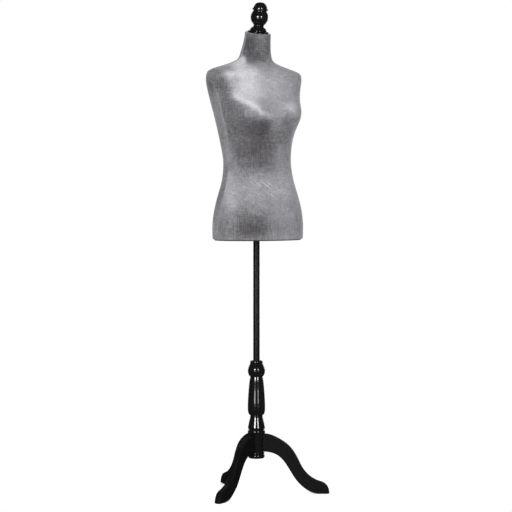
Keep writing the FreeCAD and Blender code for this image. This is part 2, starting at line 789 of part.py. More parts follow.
def build_velvet(net):
    """Three velvet panels that wrap the foam and turn in at the hem and the neck."""
    hem = size("hem_height")
    thick = size("velvet")
    turn_in_hem = 14.0
    turn_in_neck = 12.0
    outside = trimmed(net, 0, hem, 0)
    inside = trimmed(net, thick, hem + thick, -thick)
    skin = outside.cut(inside)
    opening = trimmed(net, turn_in_hem, hem - 5, 20)
    skin = skin.cut(opening.common(floor_side(hem + thick + 1)))
    neck_hole = Part.makeCylinder(size("neck_depth") - turn_in_neck, 30)
    place = on_neck(-15)
    place.Base = place.Base - FreeCAD.Vector(0, size("axis_y"), 0)
    neck_hole.Placement = place
    skin = skin.cut(neck_hole)
    front_block = side_seam_block()
    right_half = Part.makeBox(300, 600, 900, FreeCAD.Vector(-300, -300, 800))
    back = skin.cut(front_block)
    feature("cover_front", skin.common(front_block))
    feature("cover_back_right", back.common(right_half))
    feature("cover_back_left", back.cut(right_half))


def build_foam(net):
    """Front and back foam shells round one cavity, bored for the neck block."""
    hem = size("hem_height")
    start = size("velvet") + size("foam_gap")
    outside = trimmed(net, start, hem + start, -start)
    cavity_top = 1392.0
    cavity = form_solid(inset_net(net, start + size("foam_wall")))
    lid = Part.makeBox(600, 600, 300, FreeCAD.Vector(-300, -300, cavity_top))
    cavity = cavity.cut(lid)
    bore = Part.makeCylinder(size("block_radius") + 0.1, size("block_length") + 30)
    place = on_neck(-size("block_length") - 0.1)
    place.Base = place.Base - FreeCAD.Vector(0, size("axis_y"), 0)
    bore.Placement = place
    foam = outside.cut(cavity).cut(bore)
    seam_y = 5.0
    front_half = Part.makeBox(600, 300, 900, FreeCAD.Vector(-300, seam_y - 300, 800))
    feature("torso_core_front", foam.common(front_half))
    feature("torso_core_back", foam.cut(front_half))


def slab(shape, bottom, top):
    """The part of a shape between two heights."""
    block = Part.makeBox(600, 600, top - bottom, FreeCAD.Vector(-300, -300, bottom))
    return shape.common(block)


def build_base_board(net):
    """Board let into the bottom of the foam, with a hole for the socket tube."""
    inset = size("velvet") + size("foam_gap") + size("foam_wall") + 0.2
    bottom = size("hem_height") + size("board_lift")
    board = slab(form_solid(inset_net(net, inset)), bottom, bottom + size("board_thickness"))
    socket_hole = Part.makeCylinder(size("socket_radius") + 0.1, 100, FreeCAD.Vector(0, 0, bottom - 40))
    board = board.cut(socket_hole)
    for azimuth in FLANGE_SCREW_AZIMUTHS:
        x, y = ring_of(azimuth, FLANGE_SCREW_CIRCLE)
        pilot = FreeCAD.Vector(x, y, bottom + 1)
        board = board.cut(Part.makeCylinder(FLANGE_SHANK_RADIUS + 0.05, size("board_thickness"), pilot))
    feature("base_board", board)


def build_bottom_panel(net):
    """Thin panel that closes the form from below, just proud of the hem."""
    bottom = size("hem_height") - size("panel_thickness")
    panel = slab(form_solid(inset_net(net, 7.0)), bottom, size("hem_height"))
    hole = Part.makeCylinder(size("socket_radius") + 0.1, 100, FreeCAD.Vector(0, 0, bottom - 40))
    panel = panel.cut(hole)
    rim = [edge for edge in panel.Edges if edge.BoundBox.XLength > 200 and edge.CenterOfMass.z < bottom + 1]
    feature("bottom_panel", panel.makeFillet(1.2, rim))


def build_socket():
    """Tube, flange and cap that carry the torso on the pole."""
    hole = "pole_radius + sliding_gap"
    board_top = "hem_height + board_lift + board_thickness"
    tube = turned_body("socket_tube", [
        ("pole_radius + 1.2", "hem_height - panel_thickness"),
        ("socket_radius", "hem_height - panel_thickness"),
        ("socket_radius", "pole_top + 3.3"),
        (hole, "pole_top + 3.3"),
        (hole, "hem_height"),
    ])
    node(tube, upright())
    cap = turned_body("socket_cap", [
        ("0", "pole_top + 3.3"),
        ("socket_radius", "pole_top + 3.3"),
        ("socket_radius", "pole_top + 7"),
        ("socket_radius - 1.5", "pole_top + 8.5"),
        ("0", "pole_top + 8.5"),
    ])
    node(cap, upright())
    flange = turned_body("socket_flange", [
        ("socket_radius + 0.02", board_top),
        ("flange_radius", board_top),
        ("flange_radius", board_top + " + flange_thickness"),
        ("socket_radius + 3", board_top + " + flange_thickness"),
        ("socket_radius + 2", board_top + " + flange_thickness + 8"),
        ("socket_radius + 0.02", board_top + " + flange_thickness + 8"),
    ])
    holes = new_sketch(flange, "XY_Plane", number(board_top))
    bound_circle(holes, ring_of(45, FLANGE_SCREW_CIRCLE), "flange_hole")
    hole_cut = cut_down_or_up(flange, holes, "flange_thickness", True)
    polar(flange, hole_cut, 4)
    node(flange, upright())


def build_flange_screws():
    """Four screws that hold the flange down on the base board."""
    pattern = screw("flange_screw", 4.0, 2.4, FLANGE_SHANK_RADIUS, 12, 1.0)
    seat = number("hem_height + board_lift + board_thickness + flange_thickness") + 0.05
    places = []
    for azimuth in FLANGE_SCREW_AZIMUTHS:
        x, y = ring_of(azimuth, FLANGE_SCREW_CIRCLE)
        places.append(FreeCAD.Placement(FreeCAD.Vector(x, y, seat), FreeCAD.Rotation()))
    return node(screw_group("flange_screws", pattern, places), upright())


# ---------------------------------------------------------------- neck and finial

def build_neck_block():
    """Wooden block in the neck, bored for the stud."""
    return node(turned_body("neck_block", [
        ("0", "0"),
        ("block_radius", "0"),
        ("block_radius", "block_length - velvet - foam_gap"),
        ("stud_radius + 0.02", "block_length - velvet - foam_gap"),
        ("stud_radius + 0.02", "block_length - stud_below"),
        ("0", "block_length - stud_below"),
    ]), on_neck(-size("block_length")))


def build_neck_cap():
    """Turned plate on the neck."""
    outer = size("neckcap_radius")
    thick = size("neckcap_thickness")
    inner = size("stud_radius") + 0.2
    outline = [
        [(inner, 0), (outer - 1, 0)],
        [(outer - 1, 0), (outer - 0.1, 0.9), (outer, thick / 2), (outer - 0.3, thick - 0.9),
         (outer - 1.6, thick)],
        [(outer - 1.6, thick), (inner, thick)],
        [(inner, thick), (inner, 0)],
    ]
    return node(spun_body("neck_cap", outline), on_neck(0.05))


def build_finial_stud():
    """Threaded stud, plain in this model, that the finial screws down on."""
    return node(turned_body("finial_stud", [
        ("0", "0"),
        ("stud_radius", "0"),
        ("stud_radius", "stud_below + stud_above - 1"),
        ("stud_radius - 1", "stud_below + stud_above"),
        ("0", "stud_below + stud_above"),
    ]), on_neck(-size("stud_below") + 0.3))


def build_finial():
    """Turned ball and dome on a flared base; z = 0 is its underside."""
    socket = 6.5
    outline = [
        [(socket, 0), (28.4, 0)],
        [(28.4, 0), (29, 1.6), (28, 5.2), (25.6, 9.2), (24.6, 11)],
        [(24.6, 11), (22.6, 11.4)],
        [(22.6, 11.4), (19.4, 14), (17.6, 17.2), (17.2, 18.6)],
        [(17.2, 18.6), (18.2, 19.6), (18.2, 21.2), (17.2, 22.4)],
        [(17.2, 22.4), (21.2, 25.2), (26.6, 32), (29.4, 40), (30, 47.4), (29, 55), (26.6, 61.6),
         (23, 67.2)],
        [(23, 67.2), (23, 69.6)],
        [(23, 69.6), (26.2, 71.6), (27, 73.6), (26, 75.4), (23.6, 76)],
        [(23.6, 76), (23.1, 80), (20.8, 86), (16, 91.8), (8.6, 95.6), (0, 96.6)],
        [(0, 96.6), (0, 20)],
        [(0, 20), (socket, 20)],
        [(socket, 20), (socket, 0)],
    ]
    lift = size("neckcap_thickness") + size("washer_thickness") + 0.1
    return node(spun_body("finial", outline), on_neck(lift))


def build_finial_insert():
    """Threaded insert in the finial's base."""
    lift = size("neckcap_thickness") + size("washer_thickness") + 0.1
    return node(turned_body("finial_insert", [
        ("stud_radius + sliding_gap", "1"),
        ("6.5", "1"),
        ("6.5", "17"),
        ("stud_radius + sliding_gap", "17"),
    ]), on_neck(lift))


def build_finial_washer():
    """Felt washer between the plate and the finial."""
    return node(turned_body("finial_washer", [
        ("stud_radius + 0.4", "0"),
        ("stud_radius + 21", "0"),
        ("stud_radius + 21", "washer_thickness"),
        ("stud_radius + 0.4", "washer_thickness"),
    ]), on_neck(size("neckcap_thickness") + size("sliding_gap")))


# ---------------------------------------------------------------- build and write

def build_all():
    build_post()
    build_hub_cap()
    build_hub_cap_screws()
    for label, azimuth in LEG_AZIMUTHS.items():
        build_leg(label, azimuth)
    build_foot_pads()
    build_collet_sleeve()
    build_guide_bush()
    build_clamp_ring()
    build_lock_knob()
    build_lock_knob_insert()
    build_lock_collar()
    build_pole()
    build_pole_foot_plug()
    build_pole_top_plug()
    net = form_net()
    build_velvet(net)
    build_foam(net)
    build_base_board(net)
    build_bottom_panel(net)
    build_socket()
    build_flange_screws()
    build_neck_block()
    build_neck_cap()
    build_finial_stud()
    build_finial()
    build_finial_insert()
    build_finial_washer()


def check_and_write():
    """Stop on any failed object, then write one file per sub-part."""
    DOC.recompute()
    for item in DOC.Objects:
        if "Invalid" in item.State or "Error" in item.State:
            raise RuntimeError(f"{item.Label} failed: {item.State}")
    for item in NODES:
        shape = item.Shape
        if shape.isNull() or not shape.isValid() or not shape.Solids:
            raise RuntimeError(f"{item.Label} has no sound shape")
    os.makedirs("parts", exist_ok=True)
    for item in NODES:
        item.Shape.exportStep(f"parts/{item.Label}.step")
        print(f"{item.Label:18s} solids {len(item.Shape.Solids)} volume {item.Shape.Volume:11.1f}")


build_all()
check_and_write()
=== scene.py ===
import json
import math

import bpy
import numpy as np
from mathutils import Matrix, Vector, noise
from mathutils.bvhtree import BVHTree


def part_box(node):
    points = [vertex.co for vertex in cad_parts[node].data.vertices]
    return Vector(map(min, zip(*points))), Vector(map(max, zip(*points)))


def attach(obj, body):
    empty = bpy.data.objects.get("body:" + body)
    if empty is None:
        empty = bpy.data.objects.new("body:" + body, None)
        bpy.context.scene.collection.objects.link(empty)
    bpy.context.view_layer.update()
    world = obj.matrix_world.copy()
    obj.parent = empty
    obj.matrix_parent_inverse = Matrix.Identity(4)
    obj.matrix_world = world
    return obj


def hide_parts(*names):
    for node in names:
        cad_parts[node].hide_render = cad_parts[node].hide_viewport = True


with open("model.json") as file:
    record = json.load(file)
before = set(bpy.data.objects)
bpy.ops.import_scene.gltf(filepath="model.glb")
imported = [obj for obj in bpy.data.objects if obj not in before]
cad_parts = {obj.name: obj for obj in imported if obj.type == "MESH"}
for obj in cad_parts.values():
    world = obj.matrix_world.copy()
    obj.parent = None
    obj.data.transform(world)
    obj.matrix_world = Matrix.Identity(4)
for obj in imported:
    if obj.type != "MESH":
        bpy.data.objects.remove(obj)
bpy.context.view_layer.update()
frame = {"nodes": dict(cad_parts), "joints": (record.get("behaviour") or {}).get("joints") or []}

# Looks of the dress form: velvet panels stretched over the form, painted stand,
# studio, camera. Metres, +Z up. The form faces -Y and its left side is at +X.

MM = 0.001
NOISE_SEED = 3
POLE_Y = sum(corner.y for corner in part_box("pole")) / 2
NECK_JOINT = next(joint for joint in frame["joints"] if joint["name"] == "finial_turn")
NECK_TOP = np.array(NECK_JOINT["pos_m"])
NECK_AXIS = np.array(NECK_JOINT["axis"])
NECK_TILT = math.atan2(-NECK_AXIS[1], NECK_AXIS[2])
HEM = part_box("cover_front")[0].z
# Without a seed the vector noise that shapes the pile's marks, with their painted light and
# shade, starts from the clock.
noise.seed_set(NOISE_SEED)


# ---------------------------------------------------------------- velvet: shape

COVERS = ("cover_front", "cover_back_right", "cover_back_left")
ANGLES = 720
STEP = 2 * math.pi / ANGLES
# Rays start this far from each section's centre, and one that ends nearer to the centre
# than MISSED went through a gap.
OUTSIDE = 0.5
MISSED = 10 * MM
FOLD_START = 5 * MM
HEM_ROWS, HEM_SPACING = 6, 1.0 * MM
LEVEL_START, LEVEL_SPACING = 8 * MM, 2.8 * MM
CHEST_TOP = 1.385
LEANING_ROWS = 44
NECK_START, NECK_SPACING = -88 * MM, 2.4 * MM
RIM_START, RIM_SPACING, RIM_END = -11 * MM, 0.6 * MM, -1.2 * MM
SEWN_LINE = 7.4 * MM
STRAY_JUMP, STRAY_RADIUS = 0.12, 0.5
VELVET_THICKNESS = 1.1 * MM


def section_planes():
    """Centre and tilt of each section: level up to the chest, then leaning into the neck.

    Also the first of the neck's sections, and how far each is from the neck's top.
    """
    start = HEM + FOLD_START
    levels = [start + k * HEM_SPACING for k in range(HEM_ROWS)]
    levels += [*np.arange(start + LEVEL_START, CHEST_TOP, LEVEL_SPACING)]
    planes = [(np.array([0.0, POLE_Y, level]), 0.0) for level in levels]
    below = np.array([0.0, POLE_Y, CHEST_TOP])
    above = NECK_TOP + NECK_AXIS * NECK_START
    for part in np.linspace(0, 1, LEANING_ROWS, endpoint=False):
        lean = part * part * (3 - 2 * part)
        planes.append((below + (above - below) * part, NECK_TILT * lean))
    along = [*np.arange(NECK_START, RIM_START, NECK_SPACING),
             *np.arange(RIM_START, RIM_END, RIM_SPACING)]
    planes += [(NECK_TOP + NECK_AXIS * s, NECK_TILT) for s in along]
    return planes, len(planes) - len(along), np.array(along)


def cover_tree():
    """One ray tree over the three covers, and the cover that each face belongs to."""
    points, faces, owners = [], [], []
    for index, name in enumerate(COVERS):
        mesh = frame["nodes"][name].data
        first = len(points)
        points += [vertex.co.copy() for vertex in mesh.vertices]
        faces += [[first + corner for corner in face.vertices] for face in mesh.polygons]
        owners += [index] * len(mesh.polygons)
    return BVHTree.FromPolygons(points, faces), owners


def cast_sections(planes):
    """Radius of the form, and the cover that shows, at each section and angle."""
    tree, owners = cover_tree()
    radii = np.full((len(planes), ANGLES), np.nan)
    shown = np.zeros((len(planes), ANGLES), int)
    for row, (centre, tilt) in enumerate(planes):
        for k in range(ANGLES):
            away = direction(k * STEP, tilt)
            start = Vector(centre + away * OUTSIDE)
            _, _, face, distance = tree.ray_cast(start, Vector(-away))
            if face is not None and distance < OUTSIDE - MISSED:
                radii[row, k] = OUTSIDE - distance
                shown[row, k] = owners[face]
    return radii, shown


def direction(angle, tilt):
    """Unit vector outwards in a section plane. Angle 0 is the form's left, pi/2 its back."""
    across, deep = math.cos(angle), math.sin(angle)
    return np.array([across, deep * math.cos(tilt), deep * math.sin(tilt)])


def mended(radii):
    """Radii with missed and stray rays filled from their neighbours and facets smoothed out.

    A ray is stray if its radius jumps, and is short, beside the row's median.
    """
    turn = np.arange(ANGLES)
    for row in radii:
        typical = np.nanmedian(row)
        jump = np.abs(row - np.roll(row, 1)) > STRAY_JUMP * typical
        row[jump & (row < STRAY_RADIUS * typical)] = np.nan
        good = np.isfinite(row)
        row[~good] = np.interp(turn[~good], turn[good], row[good], period=ANGLES)
    weights = np.array([1, 4, 7, 4, 1]) / 17
    around = sum(w * np.roll(radii, k - 2, axis=1) for k, w in enumerate(weights))
    return smoothed(around)


def smoothed(rows):
    """Each row but the first and last averaged with its neighbours."""
    smooth = rows.copy()
    smooth[1:-1] = 0.25 * rows[:-2] + 0.5 * rows[1:-1] + 0.25 * rows[2:]
    return smooth


SEAM_PASSES = 3


def seam_angles(shown, first, second, near):
    """Angle at which cover `first` gives way to `second`, near a given angle, on each row."""
    found = []
    for row in shown:
        gaps = [((k + 0.5) * STEP - near + math.pi) % (2 * math.pi) - math.pi
                for k in range(ANGLES) if row[k] == first and row[(k + 1) % ANGLES] == second]
        found.append(min(gaps, key=abs, default=0.0))
    found = np.array(found)
    for _ in range(SEAM_PASSES):
        found = smoothed(found)
    return found + near


def ring_sample(rings, row, angles):
    """Values of a closed row of `rings` at any angles."""
    place = np.asarray(angles) / STEP
    low = np.floor(place).astype(int)
    part = (place - low)[:, None]
    ring = rings[row]
    return ring[low % ANGLES] * (1 - part) + ring[(low + 1) % ANGLES] * part


# Distances of a panel's columns from its seam; then how high or deep, how far off and how wide
# are the seam's groove, the roll beside it, the rim's bead and the groove of the sewn line.
SEAM_STEPS = np.array([0, 0.3, 0.7, 1.2, 1.8, 2.6, 3.6, 5.0, 7.0]) * MM
SEAM_DEPTH, SEAM_WIDTH = 1.5 * MM, 0.8 * MM
SEAM_ROLL, ROLL_PLACE, ROLL_WIDTH = 0.35 * MM, 3.0 * MM, 1.9 * MM
BEAD_HEIGHT, BEAD_PLACE, BEAD_WIDTH = 0.8 * MM, 3.0 * MM, 2.2 * MM
SEWN_DEPTH, SEWN_WIDTH = 0.9 * MM, 0.9 * MM
DENSE_COLUMNS = 361


def column_angles(rings, row, start, end, middle):
    """Angles of a panel's columns on one row: close beside the seams, even between them."""
    dense = np.linspace(start, end, DENSE_COLUMNS)
    points = ring_sample(rings, row, dense)
    length = np.concatenate([[0], np.cumsum(np.linalg.norm(np.diff(points, axis=0), axis=1))])
    inner = np.linspace(SEAM_STEPS[-1], length[-1] - SEAM_STEPS[-1], middle)[1:-1]
    places = np.concatenate([SEAM_STEPS, inner, length[-1] - SEAM_STEPS[::-1]])
    to_seam = np.minimum(places, length[-1] - places)
    return np.interp(places, length, dense), to_seam


def seam_relief(to_seam):
    """Height of the velvet beside a seam: it dips into the stitching and rolls over its edge."""
    dip = -SEAM_DEPTH * np.exp(-(to_seam / SEAM_WIDTH) ** 1.3)
    roll = SEAM_ROLL * np.exp(-((to_seam - ROLL_PLACE) / ROLL_WIDTH) ** 2)
    return dip + roll


def rim_relief(along):
    """Height of the folded rim at the neck: a soft bead with a sewn line under it."""
    bead = BEAD_HEIGHT * np.exp(-((along + BEAD_PLACE) / BEAD_WIDTH) ** 2)
    sewn = -SEWN_DEPTH * np.exp(-((along + SEWN_LINE) / SEWN_WIDTH) ** 2)
    return bead + sewn


# Height in metres and waves per metre of the velvet's unevenness. The offset keeps its fine
# part from following the broad one.
BROAD_CRUSH, BROAD_RATE = 0.55 * MM, 9.0
FINE_CRUSH, FINE_RATE = 0.16 * MM, 34.0
FINE_OFFSET = Vector((5.1, 2.7, 8.3))


def crush(point):
    """Slight unevenness of velvet pulled over foam, in metres."""
    broad = noise.noise(Vector(point) * BROAD_RATE)
    fine = noise.noise(Vector(point) * FINE_RATE + FINE_OFFSET)
    return BROAD_CRUSH * broad + FINE_CRUSH * fine


def mesh_object(name, points, faces):
    mesh = bpy.data.meshes.new(name)
    mesh.from_pydata(points, [], faces)
    mesh.polygons.foreach_set("use_smooth", [True] * len(mesh.polygons))
    made = bpy.data.objects.new(name, mesh)
    bpy.context.scene.collection.objects.link(made)
    return made


def quad_object(name, grid):
    """Object of quads through a grid of points. It faces where columns run right as rows rise."""
    rows, columns = grid.shape[:2]
    index = np.arange(rows * columns).reshape(rows, columns)
    quads = np.stack([index[:-1, :-1], index[:-1, 1:], index[1:, 1:], index[1:, :-1]], axis=-1)
    return mesh_object(name, grid.reshape(-1, 3).tolist(), quads.reshape(-1, 4).tolist())


# ---------------------------------------------------------------- velvet: brushed pile, with painted light and shade

# Marks where the pile lies another way, mixed with painted light and shade: painted light on the
# chest and along its crest, painted shade under the bust, on the side and low on the front.
# Each is (across, height, half width, half height, slant in degrees, strength), in mm.
# Across is x on the front and y from the pole on the sides.
FRONT_LIE_AND_LIGHT_MARKS = (
    (-35, 1500, 27, 44, 0, -1.4),
    (-26, 1466, 28, 18, 0, -0.8),
    (-58, 1464, 12, 18, -20, 1.1),
    (-120, 1408, 30, 12, 0, 0.55),
    (16, 1500, 24, 46, 0, -0.7),
    (-78, 1442, 12, 24, -40, 1.2),
    # Light on the upper chest: partly the pile, partly painted light where the chest faces up.
    (-58, 1412, 34, 24, 0, 0.75),
    (-74, 1352, 42, 46, 0, 0.85),
    (0, 1372, 60, 50, 0, 0.24),
    (55, 1385, 60, 50, 0, 0.15),
    # Darker side below the crest: partly the pile, partly painted shade where the side turns from
    # the light.
    (-154, 1382, 20, 46, 12, -0.85),
    (-136, 1312, 24, 44, 10, -0.5),
    (-118, 1240, 32, 60, 0, -0.42),
    # Painted highlight along the crest over the form's right breast.
    (-108, 1328, 27, 13, -42, 0.85),
    (-76, 1306, 24, 9, -30, 0.75),
    (-46, 1284, 22, 9, -35, 0.65),
    (-16, 1268, 20, 9, -35, 0.4),
    # Painted shade under the bust and over the waist.
    (-98, 1256, 30, 24, -30, -0.25),
    (-58, 1228, 28, 28, 0, -1.5),
    (-42, 1196, 38, 38, 0, -1.1),
    (-20, 1230, 30, 24, 0, -0.75),
    (-50, 1150, 44, 36, 0, -1.0),
    (-100, 1185, 26, 60, 0, -0.48),
    (10, 1170, 40, 56, 0, -0.55),
    (62, 1206, 34, 36, 0, -0.42),
    (-48, 1104, 46, 26, 0, -0.65),
    # Painted light on the form's left breast and painted shade under it.
    (70, 1300, 28, 20, 0, 0.45),
    (60, 1256, 40, 16, 0, -0.35),
    (-134, 1050, 18, 90, 0, 0.45),
    (-70, 1022, 60, 16, 0, 0.05),
    (60, 1030, 60, 60, 0, 0.22),
    # Painted shade low on the front, where it turns down.
    (-72, 926, 60, 40, 0, -0.80),
    (-20, 880, 44, 24, 0, -0.20),
    (-86, 888, 54, 28, 0, -0.90),
    # Painted sheen along the form's left edge.
    (118, 1180, 20, 90, 0, 0.25),
    (60, 905, 60, 26, 0, -0.15),
)
# The form's right side too mixes the pile's lie with painted light and shade.
RIGHT_LIE_AND_LIGHT_MARKS = (
    (5, 1240, 40, 80, 0, -0.15),
    (15, 1000, 50, 90, 0, -0.30),
    (12, 1372, 32, 34, 0, -0.70),
    (85, 1385, 34, 30, 20, 0.55),
    (95, 1300, 30, 50, 0, -0.45),
    (70, 1215, 34, 36, 25, 0.45),
    (90, 1130, 26, 40, 0, -0.50),
    (70, 1040, 34, 30, -20, 0.40),
    (40, 905, 40, 26, 0, 0.35),
    (95, 930, 30, 40, 0, -0.40),
)
LEFT_MARKS = (
    (20, 1350, 36, 40, -20, 0.45),
    (85, 1400, 30, 30, 0, 0.40),
    (0, 1200, 35, 60, 10, -0.35),
    (80, 1270, 30, 60, -15, -0.45),
    (70, 1150, 30, 40, 10, 0.45),
    (30, 1010, 45, 50, 0, 0.35),
    (90, 1050, 26, 40, 0, -0.40),
    (60, 920, 50, 30, 10, -0.45),
)


# Waves per metre and reach in mm of the noise that makes the marks' edges wander.
BROAD_WANDER = 18.0, 11.0
FINE_WANDER = 60.0, 4.0


def lie_and_painted_light_at(point, across, marks):
    """How far the pile lies up (+1, light) or down (-1, dark) at a point, painted light and shade
    included.
    """
    here = Vector(point)
    wander = sum((noise.noise_vector(here * rate) * reach
                  for rate, reach in (BROAD_WANDER, FINE_WANDER)), Vector())
    x, z = across / MM + wander.x, point[2] / MM + wander.z
    total = 0.0
    for centre, height, wide, tall, slant, strength in marks:
        turn = math.radians(slant)
        u = ((x - centre) * math.cos(turn) + (z - height) * math.sin(turn)) / wide
        v = (-(x - centre) * math.sin(turn) + (z - height) * math.cos(turn)) / tall
        total += strength * math.exp(-(u * u + v * v))
    return math.tanh(total)


# ---------------------------------------------------------------- materials

class Surface:
    """A node material in the making. Its methods return sockets; scales are per metre."""

    def __init__(self, name):
        self.material = bpy.data.materials.new(name)
        self.material.use_nodes = True
        self.tree = self.material.node_tree
        self.tree.nodes.clear()
        self.output = self.tree.nodes.new("ShaderNodeOutputMaterial")
        self.shader = self.tree.nodes.new("ShaderNodeBsdfPrincipled")
        self.tree.links.new(self.shader.outputs[0], self.output.inputs["Surface"])
        self.place = self.tree.nodes.new("ShaderNodeTexCoord").outputs["Object"]

    def node(self, kind, inputs, **settings):
        made = self.tree.nodes.new(kind)
        for key, value in settings.items():
            setattr(made, key, value)
        for key, value in inputs.items():
            self.feed(made.inputs[key], value)
        return made

    def feed(self, socket, value):
        if isinstance(value, bpy.types.NodeSocket):
            self.tree.links.new(value, socket)
        else:
            socket.default_value = value

    def stretched(self, scale, turn=(0, 0, 0)):
        """Coordinates scaled per axis, after a turn in degrees."""
        turned = self.node("ShaderNodeMapping", {
            "Vector": self.place, "Rotation": [math.radians(angle) for angle in turn]})
        return self.node("ShaderNodeMapping", {
            "Vector": turned.outputs[0], "Scale": scale}).outputs[0]

    def noise(self, scale, detail=2.0, roughness=0.5, vector=None, distortion=0.0):
        """Noise from 0 to 1, about 0.5."""
        return self.node("ShaderNodeTexNoise", {
            "Vector": self.place if vector is None else vector, "Scale": scale,
            "Detail": detail, "Roughness": roughness, "Distortion": distortion}).outputs["Fac"]

    def math(self, operation, first, second=0.0):
        made = self.node("ShaderNodeMath", {0: first, 1: second}, operation=operation)
        return made.outputs[0]

    def sum(self, *terms):
        """Sum of (socket, weight) pairs, each taken about its middle of 0.5."""
        total = 0.0
        for socket, weight in terms:
            centred = self.math("SUBTRACT", socket, 0.5)
            total = self.math("ADD", total, self.math("MULTIPLY", centred, weight))
        return total

    def ranged(self, value, low, high, to_low=0.0, to_high=1.0):
        return self.node("ShaderNodeMapRange", {
            "Value": value, "From Min": low, "From Max": high,
            "To Min": to_low, "To Max": to_high}).outputs[0]

    def colours(self, factor, *stops):
        """Colour ramp through (place, grey or colour) stops."""
        made = self.node("ShaderNodeValToRGB", {"Fac": factor})
        ramp = made.color_ramp
        while len(ramp.elements) < len(stops):
            ramp.elements.new(0.5)
        for element, (place, colour) in zip(ramp.elements, stops):
            element.position = place
            element.color = (*colour, 1.0)
        return made.outputs["Color"]

    def bump(self, height, distance, strength=1.0, below=None):
        made = self.node("ShaderNodeBump", {
            "Height": height, "Distance": distance, "Strength": strength})
        if below is not None:
            self.feed(made.inputs["Normal"], below)
        return made.outputs[0]

    def finish(self, **inputs):
        """Feed the shader; names have _ for a space."""
        for key, value in inputs.items():
            self.feed(self.shader.inputs[key.replace("_", " ")], value)
        return self.material


# Middle of the scratched pile on the belly, and the radii where scratches fade and end.
SCRATCHED = (-0.055, -0.165, 1.02)
SCRATCH_FADE, SCRATCH_END = 0.05, 0.10


def velvet():
    """Crushed velvet: grey by the lie of its pile and by painted light and shade, with warp, weft
    and scratches showing.
    """
    made = Surface("velvet")
    pile_lie_and_painted_light = made.node("ShaderNodeAttribute", {}, attribute_name="pile_lie_and_painted_light").outputs["Fac"]
    broad = made.noise(17.0, 3.0, 0.55, distortion=0.6)
    blotch = made.noise(52.0, 3.0, 0.6, distortion=0.8)
    falling = made.noise(1.0, 3.0, 0.65, made.stretched((360, 360, 34), (0, 2, 0)))
    crossing = made.noise(1.0, 3.0, 0.65, made.stretched((260, 260, 90), (0, -32, 0)))
    weft = made.noise(1.0, 2.0, 0.6, made.stretched((50, 50, 400), (0, 2, 0)))
    scored = made.noise(1.0, 2.0, 0.5, made.stretched((22, 22, 300), (0, -38, 0)))
    belly = made.node("ShaderNodeVectorMath", {0: made.place, 1: SCRATCHED}, operation="DISTANCE")
    strength = made.ranged(belly.outputs["Value"], SCRATCH_FADE, SCRATCH_END, 0.17, 0.0)
    scratches = made.math("MULTIPLY", made.ranged(scored, 0.60, 0.68), strength)
    pile = made.noise(1400.0, 2.0, 0.6)
    tone = made.sum((broad, 0.18), (blotch, 0.16), (falling, 0.52), (crossing, 0.14),
                    (weft, 0.34), (pile, 0.12))
    # The attribute lightens and darkens the grey by the pile's lie and by painted light and
    # shade; the weave shows less where it is painted light.
    tone = made.math("MULTIPLY", tone, made.ranged(pile_lie_and_painted_light, -0.8, 0.9, 0.95, 0.55))
    tone = made.math("ADD", tone, made.math("MULTIPLY", pile_lie_and_painted_light, 0.34))
    tone = made.math("ADD", made.math("ADD", tone, 0.50), scratches)
    colour = made.colours(
        tone, (0.06, (0.025, 0.0235, 0.025)), (0.30, (0.084, 0.081, 0.085)),
        (0.52, (0.195, 0.194, 0.206)), (0.74, (0.36, 0.36, 0.375)), (0.96, (0.62, 0.62, 0.64)))
    fuzz = made.bump(pile, 0.5 * MM, 0.7)
    lying = made.bump(made.sum((falling, 1.0), (crossing, 0.8)), 0.7 * MM, 0.6, fuzz)
    normal = made.bump(blotch, 1.6 * MM, 0.5, lying)
    return made.finish(
        Base_Color=colour, Roughness=made.ranged(tone, 0.1, 0.9, 0.95, 0.62), Normal=normal,
        Sheen_Weight=0.30, Sheen_Roughness=0.32, Sheen_Tint=(0.80, 0.81, 0.85, 1.0),
        Specular_IOR_Level=0.25)


def thread():
    """Twisted grey sewing thread."""
    made = Surface("thread")
    twist = made.noise(1.0, 1.0, 0.5, made.stretched((900, 900, 2600), (0, 35, 0)))
    colour = made.colours(twist, (0.3, (0.10, 0.10, 0.11)), (0.7, (0.27, 0.27, 0.29)))
    return made.finish(Base_Color=colour, Roughness=0.6, Normal=made.bump(twist, 0.15 * MM),
                       Sheen_Weight=0.3, Sheen_Roughness=0.4)


def lacquer():
    """Turned wood under several coats of gloss black."""
    made = Surface("black_lacquer")
    rings = made.noise(1.0, 3.0, 0.6, made.stretched((14, 14, 700)))
    grain = made.noise(1.0, 4.0, 0.6, made.stretched((520, 520, 30)))
    levelling = made.noise(85.0, 2.0, 0.5)
    dust = made.ranged(made.noise(2400.0, 1.0), 0.70, 0.86)
    colour = made.colours(made.sum((grain, 1.0), (dust, 0.4)),
                          (0.0, (0.004, 0.004, 0.0042)), (1.0, (0.011, 0.0105, 0.011)))
    relief = made.sum((rings, 0.25), (grain, 0.2), (levelling, 0.35))
    normal = made.bump(relief, 0.025 * MM, 0.4)
    uneven = made.sum((grain, 0.5), (levelling, 0.5), (dust, 0.3))
    rough = made.ranged(uneven, -0.3, 0.4, 0.13, 0.21)
    return made.finish(Base_Color=colour, Roughness=rough, Normal=normal,
                       Coat_Weight=0.7, Coat_Roughness=0.06, Coat_IOR=1.5)


